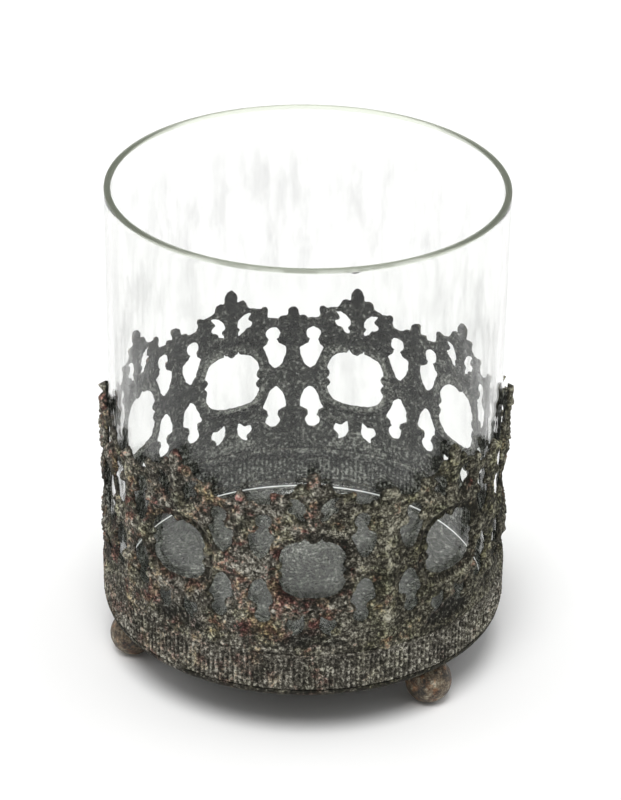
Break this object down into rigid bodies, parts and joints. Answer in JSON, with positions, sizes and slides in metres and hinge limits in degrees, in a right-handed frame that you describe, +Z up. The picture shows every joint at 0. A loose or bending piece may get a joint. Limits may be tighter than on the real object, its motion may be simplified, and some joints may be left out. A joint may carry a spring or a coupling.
{
  "type": "pillar candle holder",
  "caption": "Loose clear glass cylinder for a pillar candle, standing in a rusty openwork metal cup with a crown edge, ribbed foot band and ball feet.",
  "frame": {"origin": "on the cup's axis, in the plane that the ball feet stand on", "axes": "+Z up along the glass's axis; -Y is the front, with one oval of the lace almost straight ahead; +X is to the right seen from the front"},
  "size_m": [0.1252, 0.1252, 0.1554],
  "materials": {
    "glass": "clear, smooth, polished rim",
    "patina": "gritty dark paint, dry-brushed cream, rust and moss green",
    "pan_paint": "matt grainy grey-green paint",
    "ball": "brown rust wash over metal, half matt",
    "weld": "dark painted weld"
  },
  "bodies": {
    "base": {"lace_band": "patina", "ribbed_band": "patina", "base_pan": "pan_paint", "ball_foot_1": "ball", "ball_foot_2": "ball", "ball_foot_3": "ball", "foot_weld_1": "weld", "foot_weld_2": "weld", "foot_weld_3": "weld"},
    "glass": {"glass_cylinder": "glass"}
  },
  "joints": [
    {"name": "glass_lift", "type": "slide", "parent": "base", "child": "glass", "axis": [0, 0, 1], "range_m": [0, 0.12]}
  ]
}
